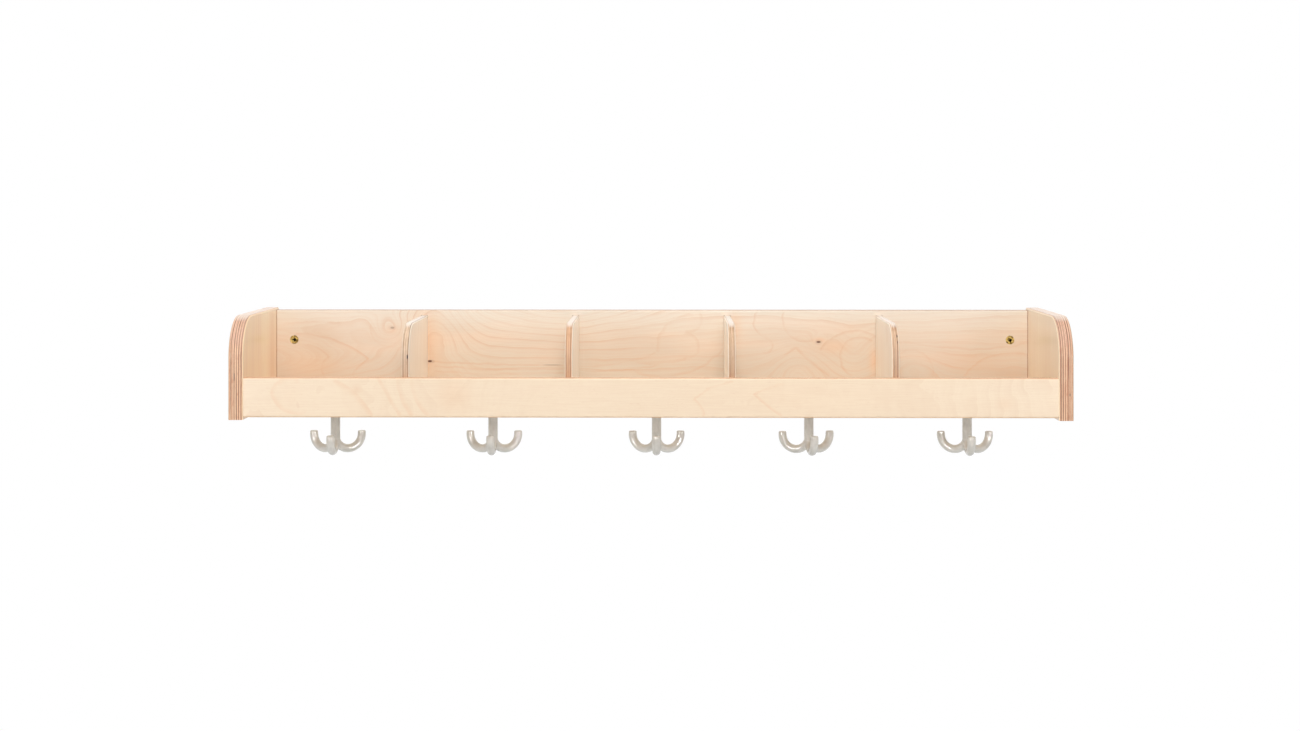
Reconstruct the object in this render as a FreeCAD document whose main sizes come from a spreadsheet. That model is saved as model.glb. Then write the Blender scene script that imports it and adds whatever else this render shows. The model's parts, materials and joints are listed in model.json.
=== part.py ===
import FreeCAD, Part
import os
import types

import Sketcher
from FreeCAD import Placement, Rotation, Vector

# A wall coat shelf of birch plywood: two sides, a back, a bottom board, a front rail and thin
# dividers that make open compartments, with a three-armed swivelling hook under each compartment.
# +X is to the right, -Y to the front, +Y to the wall and +Z up. The origin is the centre of the
# back panel's rear face, on the wall. All lengths are millimetres.

# Driving dimensions, one cell of the sheet each
SIZES = {
    # Boards
    "places": 5,
    "place_width": 191.0,
    "side_height": 125.0,
    "side_depth": 210.0,
    "side_thickness": 18.0,
    "side_corner_radius": 50.0,
    "side_edge_round": 2.5,
    "side_foot": 3.0,
    "back_thickness": 15.0,
    "back_top_drop": 3.0,
    "back_edge_round": 1.5,
    "board_thickness": 15.0,
    "rail_thickness": 15.0,
    "rail_height": 48.0,
    "rail_setback": 2.0,
    "rail_edge_round": 2.0,
    "divider_thickness": 9.0,
    "divider_top_drop": 10.0,
    "divider_corner_radius": 40.0,
    "divider_edge_round": 2.0,
    "housing_depth": 4.0,
    "housing_gap": 0.1,
    # Dowels
    "dowel_radius": 4.0,
    "dowel_length": 30.0,
    "dowel_in_side": 12.0,
    "dowel_in_face": 10.0,
    "dowel_gap": 0.05,
    "dowel_end_gap": 1.0,
    "dowel_margin": 30.0,
    "rail_dowel_margin": 12.0,
    # Wall screws
    "wall_screw_inset": 23.5,
    "wall_screw_drop": 39.0,
    "wall_screw_length": 60.0,
    "wall_screw_head_radius": 5.7,
    "wall_screw_shank_radius": 2.1,
    "wall_screw_thread_radius": 3.0,
    "wall_screw_thread_length": 36.0,
    "wall_screw_tip_length": 6.0,
    "wall_screw_hole_gap": 0.25,
    # Hooks
    "hook_from_wall": 112.0,
    "middle_hook_shift": 7.3,
    "hook_turn": 7.0,
    "hook_arms": 3,
    "stem_radius": 5.6,
    "stem_chamfer": 0.8,
    "hub_drop": 51.7,
    "bend_drop": 33.8,
    "bend_radius": 17.6,
    "arm_radius": 5.15,
    "arm_tip_radius": 4.8,
    "arm_tip_rise": 4.0,
    "arm_tip_round": 0.8,
    "bush_radius": 11.0,
    "bush_thickness": 3.0,
    "bush_rim_chamfer": 1.0,
    "bush_spigot_radius": 4.5,
    "bush_spigot_height": 4.0,
    "bush_play": 0.25,
    "pivot_radius": 2.0,
    "pivot_length": 50.0,
    "pivot_tip_length": 4.0,
    "pivot_head_radius": 3.8,
    "pivot_head_height": 2.4,
    "pivot_head_chamfer": 0.8,
    "pivot_gap": 0.05,
    "seat_drop": 37.0,
    "seat_play": 0.05,
    "washer_radius": 4.0,
    "washer_thickness": 0.8,
    "counterbore_radius": 4.3,
    "cap_thickness": 2.5,
    "cap_chamfer": 0.4,
    # How far a cut runs past the face that it starts from
    "overrun": 1.0,
}

# Two places closer than this are taken as one when edges are picked
same_place = 0.001

doc = FreeCAD.newDocument("WallCoatShelf")
sheet = doc.addObject("Spreadsheet::Sheet", "Sizes")
for row, (name, number) in enumerate(SIZES.items(), start=1):
    sheet.set(f"A{row}", name)
    sheet.set(f"B{row}", str(number))
    sheet.setAlias(f"B{row}", name)
doc.recompute()


class Size:
    """A formula of the sheet's cells, with the number that it gives now."""

    def __init__(self, formula, number):
        self.formula = formula
        self.number = number

    def join(self, sign, other, number):
        return Size(f"({self.formula} {sign} {other.formula})", number)

    def __add__(self, other):
        other = as_size(other)
        return self.join("+", other, self.number + other.number)

    def __sub__(self, other):
        other = as_size(other)
        return self.join("-", other, self.number - other.number)

    def __mul__(self, other):
        other = as_size(other)
        return self.join("*", other, self.number * other.number)

    def __truediv__(self, other):
        other = as_size(other)
        return self.join("/", other, self.number / other.number)

    def __rmul__(self, other):
        return as_size(other) * self

    def __neg__(self):
        return as_size(-1) * self


def as_size(value):
    """A plain count or zero as a Size."""
    return value if isinstance(value, Size) else Size(str(value), value)


cells = {name: Size(f"Sizes.{name}", number) for name, number in SIZES.items()}
dim = types.SimpleNamespace(**cells)

# Sizes that follow from the driving dimensions
pitch = dim.place_width + dim.divider_thickness
inner_length = dim.places * pitch - dim.divider_thickness
inner_end = inner_length / 2
back_height = dim.side_height - dim.side_foot - dim.back_top_drop
low = -back_height / 2
high = back_height / 2
side_low = low - dim.side_foot
side_high = high + dim.back_top_drop
board_top = low + dim.board_thickness
board_middle = low + dim.board_thickness / 2
back_front = -dim.back_thickness
rail_front = dim.rail_setback - dim.side_depth
rail_rear = rail_front + dim.rail_thickness
rail_top = low + dim.rail_height
divider_top = side_high - dim.divider_top_drop
divider_rear = back_front + dim.housing_depth
divider_low = board_top - dim.housing_depth
screw_end = inner_end - dim.wall_screw_inset
screw_height = high - dim.wall_screw_drop
screw_hole_radius = dim.wall_screw_thread_radius + dim.wall_screw_hole_gap
dowel_in_board = dim.dowel_length - dim.dowel_in_side
dowel_in_edge = dim.dowel_length - dim.dowel_in_face
dowel_hole_radius = dim.dowel_radius + dim.dowel_gap
housing_half = dim.divider_thickness / 2 + dim.housing_gap
pivot_bore_radius = dim.pivot_radius + dim.pivot_gap
pivot_head_top = dim.seat_drop + dim.seat_play + dim.washer_thickness
pivot_bite = dim.pivot_length - pivot_head_top
hook_y = -dim.hook_from_wall
place_count = int(dim.places.number)

# Where the dowels stand: along the sides as (Y, Z), along the board's long edges as (X, Z)
board_dowels = [
    (back_front - dim.dowel_margin, board_middle),
    ((back_front + rail_rear) / 2, board_middle),
    (rail_rear + dim.dowel_margin, board_middle),
]
back_dowels = [
    (back_front / 2, board_top + dim.dowel_margin),
    (back_front / 2, high - dim.dowel_margin),
]
rail_dowels = [
    ((rail_front + rail_rear) / 2, low + dim.rail_dowel_margin),
    ((rail_front + rail_rear) / 2, rail_top - dim.rail_dowel_margin),
]
side_dowels = board_dowels + back_dowels + rail_dowels


def place_x(number):
    """The middle of a compartment, counted from the left."""
    return (as_size(number) - (dim.places + 1) / 2) * pitch


long_edge_dowels = [(place_x(number), board_middle) for number in range(1, place_count + 1)]


def divider_x(number):
    """The middle of a divider, counted from the left."""
    return (as_size(number) - dim.places / 2) * pitch


def hook_x(number):
    """A hook's axis: under the middle of its compartment, but the middle hook stands a little aside."""
    if 2 * number == place_count + 1:
        return place_x(number) + dim.middle_hook_shift
    return place_x(number)


def bind(thing, path, size):
    """Let a size of the sheet drive one property."""
    thing.setExpression(path, as_size(size).formula)


def place(thing, x, y, z, turn=0):
    """Give a piece its place in the shelf, turned about its own upright axis."""
    thing.Placement = Placement(Vector(0, 0, 0), Rotation(Vector(0, 0, 1), turn))
    for axis, size in zip("xyz", (x, y, z)):
        bind(thing, f"Placement.Base.{axis}", size)


def new_body(label):
    body = doc.addObject("PartDesign::Body", label)
    body.Label = label
    return body


def origin_part(body, role):
    """One of a body's own origin planes or axes."""
    return next(part for part in body.Origin.OriginFeatures if part.Role == role)


def new_sketch(body, name, role, x=0, y=0, z=0):
    """A sketch on one of the body's origin planes, moved by x and y along the plane and z off it."""
    sketch = body.newObject("Sketcher::SketchObject", name)
    sketch.AttachmentSupport = [(origin_part(body, role), "")]
    sketch.MapMode = "FlatFace"
    for axis, size in zip("xyz", (x, y, z)):
        bind(sketch, f"AttachmentOffset.Base.{axis}", size)
    return sketch


def pin_point(sketch, line, end, x, y):
    """Hold one end, or the centre, of a line or circle at a place given by the sheet."""
    for kind, axis_line, size in (("DistanceX", -2, as_size(x)), ("DistanceY", -1, as_size(y))):
        if size.formula == "0":
            sketch.addConstraint(Sketcher.Constraint("PointOnObject", line, end, axis_line))
        else:
            rule = sketch.addConstraint(Sketcher.Constraint(kind, -1, 1, line, end, size.number))
            bind(sketch, f"Constraints[{rule}]", size)


def draw_outline(sketch, points):
    """A closed outline of straight lines through points that the sheet holds in place."""
    corners = [Vector(as_size(x).number, as_size(y).number, 0) for x, y in points]
    lines = []
    for start, end in zip(corners, corners[1:] + corners[:1]):
        lines.append(sketch.addGeometry(Part.LineSegment(start, end)))
    for line, following in zip(lines, lines[1:] + lines[:1]):
        sketch.addConstraint(Sketcher.Constraint("Coincident", line, 2, following, 1))
    for line, (x, y) in zip(lines, points):
        pin_point(sketch, line, 1, x, y)


def draw_rectangle(sketch, left, right, bottom, top):
    draw_outline(sketch, [(left, bottom), (right, bottom), (right, top), (left, top)])


def draw_circle(sketch, x, y, radius):
    centre = Vector(as_size(x).number, as_size(y).number, 0)
    circle = sketch.addGeometry(Part.Circle(centre, Vector(0, 0, 1), radius.number))
    pin_point(sketch, circle, 3, x, y)
    rule = sketch.addConstraint(Sketcher.Constraint("Radius", circle, radius.number))
    bind(sketch, f"Constraints[{rule}]", radius)


def pad(body, sketch, name, length, reversed_way=False):
    """Raise a sketch along its normal, or the other way."""
    feature = body.newObject("PartDesign::Pad", name)
    feature.Profile = sketch
    feature.Reversed = reversed_way
    bind(feature, "Length", length)
    doc.recompute()
    return feature


def pocket(body, sketch, name, depth, reversed_way=False):
    """Cut a sketch into the body, and make sure that it met wood."""
    before = body.Shape.Volume
    feature = body.newObject("PartDesign::Pocket", name)
    feature.Profile = sketch
    feature.Reversed = reversed_way
    bind(feature, "Length", depth)
    doc.recompute()
    if body.Shape.Volume >= before:
        raise RuntimeError(f"{body.Label}: {name} cuts nothing")
    return feature


def turn_profile(body, kind, sketch, name, axis="V_Axis", angle=360, reversed_way=False):
    """Turn a half profile about one of its sketch's axes, to add or to cut."""
    feature = body.newObject(kind, name)
    feature.Profile = sketch
    feature.ReferenceAxis = (sketch, [axis])
    feature.Angle = angle
    feature.Reversed = reversed_way
    doc.recompute()
    return feature


def mirror(body, originals, name, role):
    """Repeat features on the other side of one of the body's origin planes."""
    feature = body.newObject("PartDesign::Mirrored", name)
    feature.Originals = originals
    feature.MirrorPlane = (origin_part(body, role), [""])
    body.Tip = feature
    doc.recompute()
    return feature


def edges_where(feature, test):
    """The names of the edges of a feature that pass a test."""
    return [f"Edge{n}" for n, edge in enumerate(feature.Shape.Edges, start=1) if test(edge)]


def lies_at(edge, axis, size):
    """Whether a whole edge lies at one height along an axis."""
    box = edge.BoundBox
    ends = getattr(box, f"{axis}Min"), getattr(box, f"{axis}Max")
    return all(abs(end - as_size(size).number) < same_place for end in ends)


def round_edges(body, base, name, radius, test):
    """Round the edges of the last feature that pass a test."""
    feature = body.newObject("PartDesign::Fillet", name)
    feature.Base = (base, edges_where(base, test))
    bind(feature, "Radius", radius)
    doc.recompute()
    return feature


def drill(body, name, role, offset, centres, radius, depth, reversed_way=False):
    """Round blind holes with their mouths on a plane at an offset from an origin plane."""
    sketch = new_sketch(body, f"{name}_centres", role, z=offset)
    for x, y in centres:
        draw_circle(sketch, x, y, radius)
    return pocket(body, sketch, name, depth, reversed_way)


def make_side(label, hand):
    """A side panel, drawn from its inner face outwards. hand is -1 on the left and 1 on the right."""
    body = new_body(label)
    is_left = hand < 0
    sketch = new_sketch(body, "side_outline", "YZ_Plane")
    draw_rectangle(sketch, -dim.side_depth, 0, side_low, side_high)
    panel = pad(body, sketch, "side_panel", dim.side_thickness, reversed_way=is_left)

    def front_corner(edge):
        return lies_at(edge, "Y", -dim.side_depth) and lies_at(edge, "Z", side_high)

    corner = round_edges(body, panel, "front_corner", dim.side_corner_radius, front_corner)

    def exposed(edge):
        on_face = lies_at(edge, "X", 0) or lies_at(edge, "X", hand * dim.side_thickness)
        return on_face and not lies_at(edge, "Y", 0) and not lies_at(edge, "Z", side_low)

    round_edges(body, corner, "edge_round", dim.side_edge_round, exposed)
    drill(body, "dowel_holes", "YZ_Plane", 0, side_dowels, dowel_hole_radius, dim.dowel_in_side,
          reversed_way=not is_left)
    place(body, hand * inner_end, 0, 0)


def make_back():
    """The back panel, with housings for the dividers and countersunk holes for the wall screws."""
    body = new_body("back_panel")
    sketch = new_sketch(body, "back_outline", "XZ_Plane")
    draw_rectangle(sketch, -inner_end, inner_end, low, high)
    panel = pad(body, sketch, "back_board", dim.back_thickness)

    def top_edge(edge):
        on_face = lies_at(edge, "Y", 0) or lies_at(edge, "Y", back_front)
        return on_face and lies_at(edge, "Z", high)

    round_edges(body, panel, "top_round", dim.back_edge_round, top_edge)
    housings = new_sketch(body, "housing_outlines", "XZ_Plane", z=dim.back_thickness)
    for number in range(1, place_count):
        middle = divider_x(number)
        left = middle - housing_half
        right = middle + housing_half
        draw_rectangle(housings, left, right, divider_low, divider_top + dim.housing_gap)
    pocket(body, housings, "housings", dim.housing_depth)
    drill(body, "board_dowel_holes", "XZ_Plane", dim.back_thickness, long_edge_dowels,
          dowel_hole_radius, dim.dowel_in_face)
    depth = dowel_in_board + dim.dowel_end_gap
    ends = drill(body, "end_dowel_holes", "YZ_Plane", inner_end, back_dowels, dowel_hole_radius, depth)
    mirror(body, [ends], "end_dowel_holes_left", "YZ_Plane")
    hole = new_sketch(body, "screw_hole_profile", "XY_Plane", x=screw_end, z=screw_height)
    mouth = back_front - dim.overrun
    throat = back_front + dim.wall_screw_head_radius - screw_hole_radius
    draw_outline(hole, [
        (0, mouth),
        (dim.wall_screw_head_radius, mouth),
        (dim.wall_screw_head_radius, back_front),
        (screw_hole_radius, throat),
        (screw_hole_radius, dim.overrun),
        (0, dim.overrun),
    ])
    before = body.Shape.Volume
    right_hole = turn_profile(body, "PartDesign::Groove", hole, "screw_hole_right")
    if body.Shape.Volume >= before:
        raise RuntimeError("back_panel: the screw hole cuts nothing")
    mirror(body, [right_hole], "screw_hole_left", "YZ_Plane")


def make_board():
    """The bottom board, with housings above for the dividers and holes below for the hooks."""
    body = new_body("bottom_board")
    sketch = new_sketch(body, "board_outline", "XY_Plane", z=low)
    draw_rectangle(sketch, -inner_end, inner_end, rail_rear, back_front)
    pad(body, sketch, "board", dim.board_thickness)
    housings = new_sketch(body, "housing_outlines", "XY_Plane", z=board_top)
    for number in range(1, place_count):
        middle = divider_x(number)
        left = middle - housing_half
        right = middle + housing_half
        draw_rectangle(housings, left, right, rail_rear - dim.overrun, back_front + dim.overrun)
    pocket(body, housings, "housings", dim.housing_depth)
    depth = dowel_in_board + dim.dowel_end_gap
    ends = drill(body, "end_dowel_holes", "YZ_Plane", inner_end, board_dowels, dowel_hole_radius, depth)
    mirror(body, [ends], "end_dowel_holes_left", "YZ_Plane")
    depth = dowel_in_edge + dim.dowel_end_gap
    drill(body, "rail_dowel_holes", "XZ_Plane", -rail_rear, long_edge_dowels, dowel_hole_radius, depth)
    drill(body, "back_dowel_holes", "XZ_Plane", -back_front, long_edge_dowels, dowel_hole_radius, depth,
          reversed_way=True)
    hooks = [(hook_x(number), hook_y) for number in range(1, place_count + 1)]
    bush_hole_radius = dim.bush_spigot_radius + dim.dowel_gap
    drill(body, "bush_holes", "XY_Plane", low, hooks, bush_hole_radius, dim.bush_spigot_height,
          reversed_way=True)
    drill(body, "pivot_screw_holes", "XY_Plane", low, hooks, pivot_bore_radius, pivot_bite,
          reversed_way=True)


def make_rail():
    """The front rail, rounded along both front edges and the rear top edge."""
    body = new_body("front_rail")
    sketch = new_sketch(body, "rail_outline", "XZ_Plane", z=-rail_rear)
    draw_rectangle(sketch, -inner_end, inner_end, low, rail_top)
    rail = pad(body, sketch, "rail", dim.rail_thickness)

    def exposed(edge):
        front = lies_at(edge, "Y", rail_front) and not lies_at(edge, "X", inner_end)
        front = front and not lies_at(edge, "X", -inner_end)
        return front or (lies_at(edge, "Y", rail_rear) and lies_at(edge, "Z", rail_top))

    round_edges(body, rail, "edge_round", dim.rail_edge_round, exposed)
    drill(body, "board_dowel_holes", "XZ_Plane", -rail_rear, long_edge_dowels, dowel_hole_radius,
          dim.dowel_in_face, reversed_way=True)
    depth = dowel_in_board + dim.dowel_end_gap
    ends = drill(body, "end_dowel_holes", "YZ_Plane", inner_end, rail_dowels, dowel_hole_radius, depth)
    mirror(body, [ends], "end_dowel_holes_left", "YZ_Plane")


def make_divider(number):
    """A divider: its foot and rear edge stand in the housings, its front edge meets the rail."""
    body = new_body(f"divider_{number}")
    half = dim.divider_thickness / 2
    sketch = new_sketch(body, "divider_outline", "YZ_Plane", z=-half)
    draw_rectangle(sketch, rail_rear, divider_rear, divider_low, divider_top)
    panel = pad(body, sketch, "divider_panel", dim.divider_thickness)

    def front_corner(edge):
        return lies_at(edge, "Y", rail_rear) and lies_at(edge, "Z", divider_top)

    corner = round_edges(body, panel, "front_corner", dim.divider_corner_radius, front_corner)

    def exposed(edge):
        on_face = lies_at(edge, "X", -half) or lies_at(edge, "X", half)
        return on_face and not lies_at(edge, "Y", divider_rear) and not lies_at(edge, "Z", divider_low)

    round_edges(body, corner, "edge_round", dim.divider_edge_round, exposed)
    place(body, divider_x(number), 0, 0)


def make_dowels(label, role, centres, start):
    """A group of alike dowels, each a solid of its own, all starting at one distance off a plane."""
    body = new_body(label)
    body.AllowCompound = True
    sketch = new_sketch(body, "dowel_centres", role, z=start)
    for x, y in centres:
        draw_circle(sketch, x, y, dim.dowel_radius)
    pad(body, sketch, "dowels", dim.dowel_length)


def make_wall_screw(label, hand):
    """A countersunk wall screw: head in the back panel, plain shank, thread in the wall."""
    body = new_body(label)
    sketch = new_sketch(body, "screw_profile", "XY_Plane")
    head_end = back_front + dim.wall_screw_head_radius - dim.wall_screw_shank_radius
    point = back_front + dim.wall_screw_length
    thread_start = point - dim.wall_screw_thread_length
    tip_start = point - dim.wall_screw_tip_length
    draw_outline(sketch, [
        (0, back_front),
        (dim.wall_screw_head_radius, back_front),
        (dim.wall_screw_shank_radius, head_end),
        (dim.wall_screw_shank_radius, thread_start),
        (dim.wall_screw_thread_radius, thread_start),
        (dim.wall_screw_thread_radius, tip_start),
        (0, point),
    ])
    turn_profile(body, "PartDesign::Revolution", sketch, "screw")
    place(body, hand * screw_end, 0, screw_height)


def place_hook_piece(piece, number, z=low, swivels=False):
    """Set a piece on a hook's axis. The hook before the last was left a little turned."""
    turned = swivels and number == place_count - 1
    place(piece, hook_x(number), hook_y, z, dim.hook_turn.number if turned else 0)


def make_bush(number):
    """The flanged bush between the bottom board and a hook, with its spigot up in the board."""
    body = new_body(f"hook_{number}_bush")
    sketch = new_sketch(body, "bush_profile", "XZ_Plane")
    rim = dim.bush_radius - dim.bush_rim_chamfer
    draw_outline(sketch, [
        (pivot_bore_radius, -dim.bush_thickness),
        (rim, -dim.bush_thickness),
        (dim.bush_radius, dim.bush_rim_chamfer - dim.bush_thickness),
        (dim.bush_radius, 0),
        (dim.bush_spigot_radius, 0),
        (dim.bush_spigot_radius, dim.bush_spigot_height),
        (pivot_bore_radius, dim.bush_spigot_height),
    ])
    turn_profile(body, "PartDesign::Revolution", sketch, "bush")
    place_hook_piece(body, number)


def make_pivot_screw(number):
    """The screw that a hook turns on, up through its stem and bush into the bottom board."""
    body = new_body(f"hook_{number}_pivot_screw")
    sketch = new_sketch(body, "screw_profile", "XZ_Plane")
    head_low = -(pivot_head_top + dim.pivot_head_height)
    shoulder = head_low + dim.pivot_head_chamfer
    draw_outline(sketch, [
        (0, head_low),
        (dim.pivot_head_radius - dim.pivot_head_chamfer, head_low),
        (dim.pivot_head_radius, shoulder),
        (dim.pivot_head_radius, -pivot_head_top),
        (dim.pivot_radius, -pivot_head_top),
        (dim.pivot_radius, pivot_bite - dim.pivot_tip_length),
        (0, pivot_bite),
    ])
    turn_profile(body, "PartDesign::Revolution", sketch, "screw")
    place_hook_piece(body, number)


def make_washer(number):
    """The washer under a pivot screw's head, a flat ring that the hook rests on."""
    label = f"hook_{number}_washer"
    disc = doc.addObject("Part::Cylinder", f"{label}_disc")
    hole = doc.addObject("Part::Cylinder", f"{label}_hole")
    bind(disc, "Radius", dim.washer_radius)
    bind(hole, "Radius", pivot_bore_radius)
    bind(disc, "Height", dim.washer_thickness)
    bind(hole, "Height", dim.washer_thickness + 2 * dim.overrun)
    bind(hole, "Placement.Base.z", -dim.overrun)
    washer = doc.addObject("Part::Cut", label)
    washer.Label = label
    washer.Base = disc
    washer.Tool = hole
    place_hook_piece(washer, number, z=low - pivot_head_top)
    doc.recompute()


def make_hook(number):
    """A moulded hook: a stem with three arms that bend up, bored for its pivot screw from below."""
    body = new_body(f"hook_{number}_body")
    sketch = new_sketch(body, "stem_profile", "XZ_Plane")
    stem_top = -(dim.bush_thickness + dim.bush_play)
    draw_outline(sketch, [
        (0, -dim.hub_drop),
        (dim.stem_radius - dim.stem_chamfer, -dim.hub_drop),
        (dim.stem_radius, dim.stem_chamfer - dim.hub_drop),
        (dim.stem_radius, stem_top - dim.stem_chamfer),
        (dim.stem_radius - dim.stem_chamfer, stem_top),
        (0, stem_top),
    ])
    turn_profile(body, "PartDesign::Revolution", sketch, "stem")

    # The front arm: half a ring from the stem's axis, then a short taper up to the tip
    bend = new_sketch(body, "arm_section", "XY_Plane", y=-dim.bend_radius, z=-dim.bend_drop)
    draw_circle(bend, 0, dim.bend_radius, dim.arm_radius)
    arm = turn_profile(body, "PartDesign::Revolution", bend, "arm_bend", "H_Axis", 180, True)
    tip_height = dim.arm_tip_rise - dim.bend_drop
    taper = new_sketch(body, "tip_profile", "XZ_Plane", z=2 * dim.bend_radius)
    draw_outline(taper, [
        (0, -dim.bend_drop),
        (dim.arm_radius, -dim.bend_drop),
        (dim.arm_tip_radius, tip_height),
        (0, tip_height),
    ])
    tip = turn_profile(body, "PartDesign::Revolution", taper, "arm_tip")

    arms = body.newObject("PartDesign::PolarPattern", "arms")
    arms.Originals = [arm, tip]
    arms.Axis = (origin_part(body, "Z_Axis"), [""])
    arms.Angle = 360
    bind(arms, "Occurrences", dim.hook_arms)
    body.Tip = arms
    doc.recompute()

    def tip_rim(edge):
        return lies_at(edge, "Z", tip_height) and edge.Closed

    round_edges(body, arms, "tip_round", dim.arm_tip_round, tip_rim)
    bore = new_sketch(body, "bore_profile", "XZ_Plane")
    draw_outline(bore, [
        (0, -(dim.hub_drop + dim.overrun)),
        (dim.counterbore_radius, -(dim.hub_drop + dim.overrun)),
        (dim.counterbore_radius, -dim.seat_drop),
        (pivot_bore_radius, -dim.seat_drop),
        (pivot_bore_radius, stem_top + dim.overrun),
        (0, stem_top + dim.overrun),
    ])
    before = body.Shape.Volume
    turn_profile(body, "PartDesign::Groove", bore, "bore")
    if body.Shape.Volume >= before:
        raise RuntimeError(f"{body.Label}: the bore cuts nothing")
    place_hook_piece(body, number, swivels=True)


def make_cap(number):
    """The plug that closes a hook's counterbore, flush with the hub."""
    body = new_body(f"hook_{number}_cap")
    sketch = new_sketch(body, "cap_profile", "XZ_Plane")
    radius = dim.counterbore_radius - dim.pivot_gap
    draw_outline(sketch, [
        (0, -dim.hub_drop),
        (radius - dim.cap_chamfer, -dim.hub_drop),
        (radius, dim.cap_chamfer - dim.hub_drop),
        (radius, dim.cap_thickness - dim.hub_drop),
        (0, dim.cap_thickness - dim.hub_drop),
    ])
    turn_profile(body, "PartDesign::Revolution", sketch, "cap")
    place_hook_piece(body, number, swivels=True)


# The boards
make_side("side_left", -1)
make_side("side_right", 1)
make_back()
make_board()
make_rail()
for divider in range(1, place_count):
    make_divider(divider)

# What joins them, and what holds the shelf to the wall
make_dowels("side_dowels_left", "YZ_Plane", side_dowels, -(inner_end + dim.dowel_in_side))
make_dowels("side_dowels_right", "YZ_Plane", side_dowels, inner_end - dowel_in_board)
make_dowels("rail_dowels", "XZ_Plane", long_edge_dowels, -(rail_rear + dowel_in_edge))
make_dowels("back_dowels", "XZ_Plane", long_edge_dowels, dim.back_thickness - dim.dowel_in_face)
make_wall_screw("wall_screw_left", -1)
make_wall_screw("wall_screw_right", 1)

# The hooks
for hook in range(1, place_count + 1):
    make_bush(hook)
    make_pivot_screw(hook)
    make_washer(hook)
    make_hook(hook)
    make_cap(hook)

doc.recompute()


def sub_parts():
    """The bodies and joined primitives that are pieces of the shelf."""
    return [thing for thing in doc.Objects if thing.TypeId in ("PartDesign::Body", "Part::Cut")]


for thing in doc.Objects:
    if "Invalid" in thing.State or "Error" in thing.State:
        raise RuntimeError(f"{thing.Name} failed: {thing.State}")
for piece in sub_parts():
    if piece.Shape.isNull() or not piece.Shape.isValid() or not piece.Shape.Solids:
        raise RuntimeError(f"{piece.Label} has no valid solid")

os.makedirs("parts", exist_ok=True)
for piece in sub_parts():
    piece.Shape.exportStep(f"parts/{piece.Label}.step")
    box = piece.Shape.BoundBox
    print(f"{piece.Label}: {len(piece.Shape.Solids)} solid, {piece.Shape.Volume:.0f} mm3, "
          f"X {box.XMin:.1f} to {box.XMax:.1f}, Y {box.YMin:.1f} to {box.YMax:.1f}, "
          f"Z {box.ZMin:.1f} to {box.ZMax:.1f}")
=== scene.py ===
# %% [markdown]
# # A wall coat shelf in birch plywood, with swivelling plastic hooks
#
# The shelf is nine plywood boards, five moulded hooks and some hardware. Its exact solids come from
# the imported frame, so the boards are already the right shape and only want a good finish. The hooks
# and the screws in the wall are modelled again here, because softened plastic and a real thread need
# meshes that flow, and that is what Blender is good at.

import json
import math

import bpy
from mathutils import Color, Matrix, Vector


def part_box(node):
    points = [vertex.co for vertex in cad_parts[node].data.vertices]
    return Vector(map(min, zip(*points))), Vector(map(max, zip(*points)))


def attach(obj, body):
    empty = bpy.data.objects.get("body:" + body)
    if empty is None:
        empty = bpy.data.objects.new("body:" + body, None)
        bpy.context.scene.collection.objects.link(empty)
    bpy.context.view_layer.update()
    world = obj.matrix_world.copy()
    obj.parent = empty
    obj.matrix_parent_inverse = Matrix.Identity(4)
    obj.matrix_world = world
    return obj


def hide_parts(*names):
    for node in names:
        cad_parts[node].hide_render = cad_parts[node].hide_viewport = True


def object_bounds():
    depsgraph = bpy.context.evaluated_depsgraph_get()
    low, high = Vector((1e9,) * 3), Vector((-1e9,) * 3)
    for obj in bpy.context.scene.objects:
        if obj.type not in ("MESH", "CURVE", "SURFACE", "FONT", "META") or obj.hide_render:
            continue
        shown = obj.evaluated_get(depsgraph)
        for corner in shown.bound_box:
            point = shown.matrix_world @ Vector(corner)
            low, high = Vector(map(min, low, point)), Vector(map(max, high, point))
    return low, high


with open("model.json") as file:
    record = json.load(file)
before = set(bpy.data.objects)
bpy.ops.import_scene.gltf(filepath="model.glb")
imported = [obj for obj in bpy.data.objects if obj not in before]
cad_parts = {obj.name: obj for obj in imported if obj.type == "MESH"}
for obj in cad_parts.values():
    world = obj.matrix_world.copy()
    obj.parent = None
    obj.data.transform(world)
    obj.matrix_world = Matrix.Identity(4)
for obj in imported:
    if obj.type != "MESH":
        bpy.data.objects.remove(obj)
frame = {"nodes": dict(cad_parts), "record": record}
cad_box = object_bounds()

# %% [markdown]
# ## Sizes
#
# Everything is in metres in the shelf's own frame: +X to the right, -Y to the front, +Z up, and the
# wall at Y = 0. Small sizes read better in millimetres, so one value turns them into metres.
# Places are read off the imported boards, so nothing has to be fitted afterwards.

# %% Units and places
MM = 0.001
HOOKS = sorted(name for name in frame["record"]["behaviour"]["bodies"] if name.startswith("hook_"))
shelf_middle = (cad_box[0] + cad_box[1]) / 2
shelf_size = [round(side / MM, 1) for side in cad_box[1] - cad_box[0]]
print("the shelf is", shelf_size, "mm, with", len(HOOKS), "hooks")


def paint(red, green, blue):
    """A colour as it is seen, from 0 to 255, turned into the light values that a shader works with."""
    full = 255
    seen = Color((red / full, green / full, blue / full))
    return (*seen.from_srgb_to_scene_linear(), 1.0)


# %% [markdown]
# ## Sums with nodes
#
# A procedural finish is mostly arithmetic on coordinates. Clicking hundreds of Math nodes together is
# hard to read back later, so this small class lets a node's output stand in a Python sum: `a * b + 1`
# adds the two Math nodes for us, and `1 - a` works as well. Every other kind of node comes from the
# one method `node`.

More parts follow.
